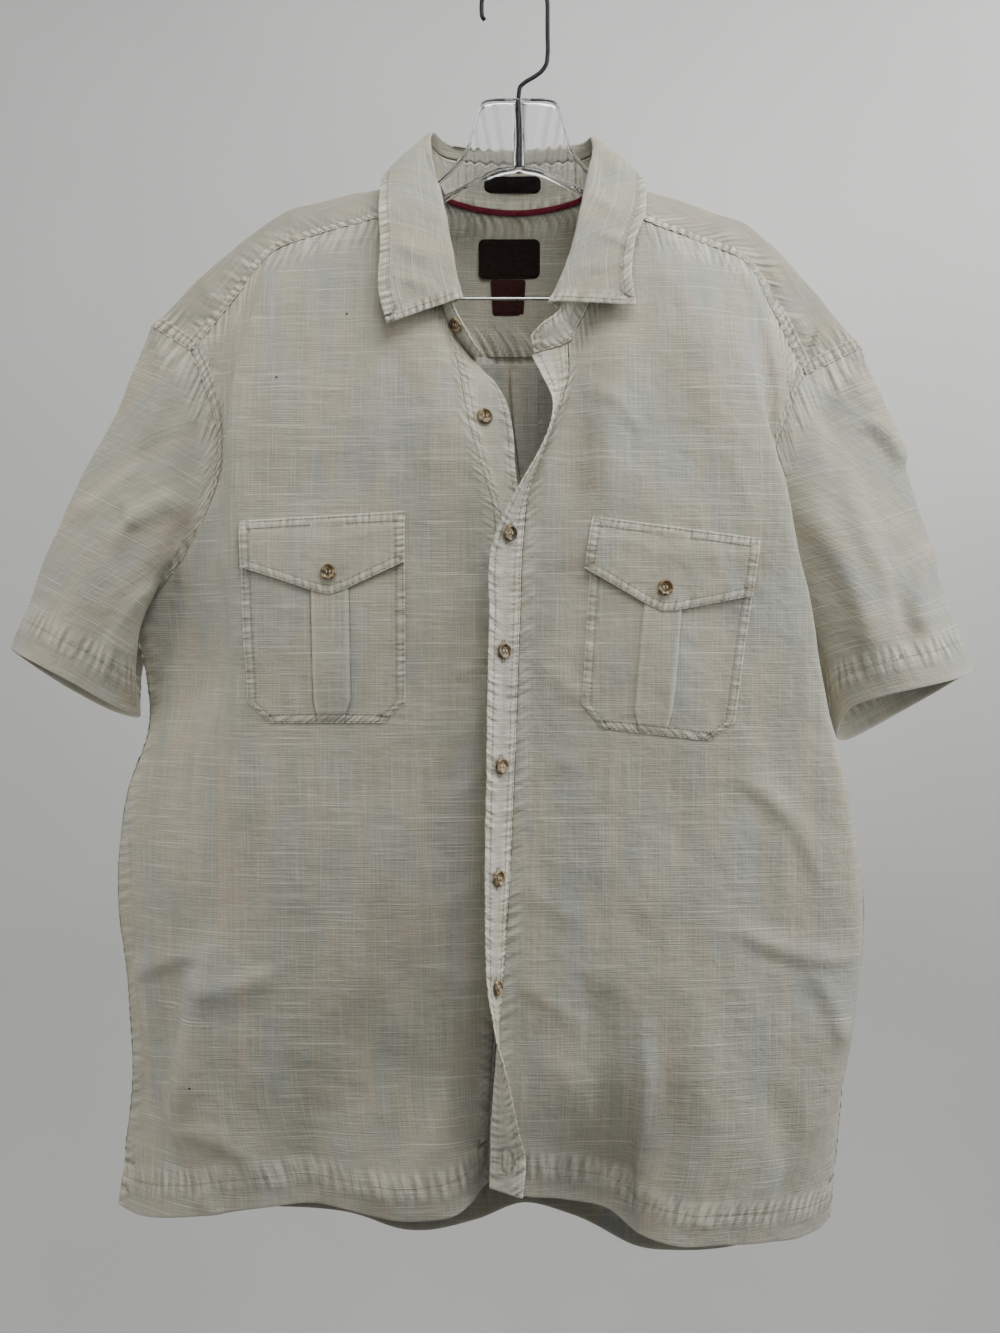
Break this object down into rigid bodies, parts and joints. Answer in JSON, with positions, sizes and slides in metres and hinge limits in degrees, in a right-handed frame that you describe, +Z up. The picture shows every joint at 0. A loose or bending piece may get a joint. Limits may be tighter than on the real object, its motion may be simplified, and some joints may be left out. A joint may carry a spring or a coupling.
{
  "type": "short-sleeved button-down shirt on a hanger",
  "caption": "Short-sleeved woven shirt with flap pockets and a turned-down collar, hanging partly unbuttoned on a clear plastic hanger with a wire hook.",
  "frame": {"origin": "inner top of the hanger hook's arch, where a rail carries it", "axes": "+Z up, the wearer faces -Y, so the wearer's left side is +X"},
  "size_m": [0.7961, 0.1789, 1.0631],
  "materials": {
    "cloth": "washed cotton and linen slub weave",
    "tape": "woven twill tape",
    "label": "plain dark woven label",
    "button": "mottled horn effect",
    "clear_plastic": "clear moulded",
    "hook_wire": "black wire",
    "bar_wire": "plain steel rod"
  },
  "bodies": {
    "root": {"front_right": "cloth", "front_left": "cloth", "button_band": "cloth", "buttonhole_band": "cloth", "back": "cloth", "yoke": "cloth", "sleeve_right": "cloth", "sleeve_left": "cloth", "collar_stand": "cloth", "collar_leaf": "cloth", "pocket_right": "cloth", "pocket_left": "cloth", "pocket_flap_right": "cloth", "pocket_flap_left": "cloth", "neck_tape": "tape", "label_main": "label", "label_size": "label", "label_stand": "label", "button_collar": "button", "button_front_1": "button", "button_front_2": "button", "button_front_3": "button", "button_front_4": "button", "button_front_5": "button", "button_front_6": "button", "button_pocket_right": "button", "button_pocket_left": "button", "hanger_body": "clear_plastic", "hanger_hook": "hook_wire", "hanger_bar": "bar_wire"}
  },
  "joints": []
}
